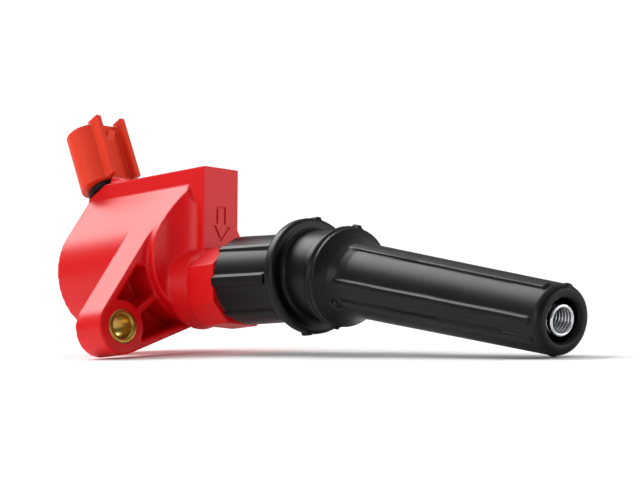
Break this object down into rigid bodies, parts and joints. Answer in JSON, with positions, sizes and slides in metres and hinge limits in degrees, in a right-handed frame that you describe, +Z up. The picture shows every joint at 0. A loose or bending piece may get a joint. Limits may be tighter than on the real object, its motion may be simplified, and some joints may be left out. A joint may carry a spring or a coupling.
{
  "type": "ignition coil",
  "caption": "Coil-on-plug ignition coil: flat core slab over a round winding drum, bolt ear, angled plug connector and a flexible flanged rubber boot with a contact spring.",
  "frame": {"origin": "front end of the mounting bushing's bore, on its axis", "axes": "+X along the boot as it lies, +Y from the ear towards the far side of the slab, +Z up from the surface that the ear and the boot tip lie on"},
  "size_m": [0.2068, 0.0529, 0.0699],
  "materials": {
    "housing": "satin",
    "brass": "machined",
    "epoxy": "glossy cast",
    "connector": "satin",
    "seal_rubber": "satin",
    "terminal": "plated",
    "lamination": "stacked sheet",
    "magnet": "nickel plated",
    "bobbin": "moulded",
    "copper": "enamelled wire",
    "bobbin_dark": "moulded",
    "copper_fine": "enamelled wire",
    "diode": "moulded",
    "tinned": "tinned",
    "ceramic": "glazed ceramic",
    "stud": "turned",
    "silicone": "satin",
    "boot": "satin",
    "spring": "drawn wire"
  },
  "bodies": {
    "coil": {"housing": "housing", "bushing": "brass", "potting_resin": "epoxy", "connector_body": "connector", "connector_seal": "seal_rubber", "terminal_supply": "terminal", "terminal_trigger": "terminal", "yoke": "lamination", "i_core": "lamination", "magnet": "magnet", "primary_bobbin": "bobbin", "primary_winding": "copper", "secondary_bobbin": "bobbin_dark", "secondary_winding": "copper_fine", "flyback_diode": "diode", "hv_lead": "tinned", "hv_cup": "brass", "suppressor_resistor": "ceramic", "contact_stud": "stud", "tower_seal": "silicone", "boot_upper": "boot"},
    "lower_boot": {"boot_lower": "boot"},
    "spring": {"contact_spring": "spring"}
  },
  "joints": [
    {"name": "boot_flex", "type": "hinge", "parent": "coil", "child": "lower_boot", "pos_m": [0.05732, 0.02713, 0.01298], "axis": [0, 0.9914, -0.1305], "range_deg": [-13, 12], "stiffness_Nm_per_rad": 0.6},
    {"name": "spring_press", "type": "slide", "parent": "lower_boot", "child": "spring", "axis": [-0.9899, 0.0185, 0.1406], "range_m": [0, 0.02], "stiffness_N_per_m": 400, "deforming": ["contact_spring"]}
  ]
}
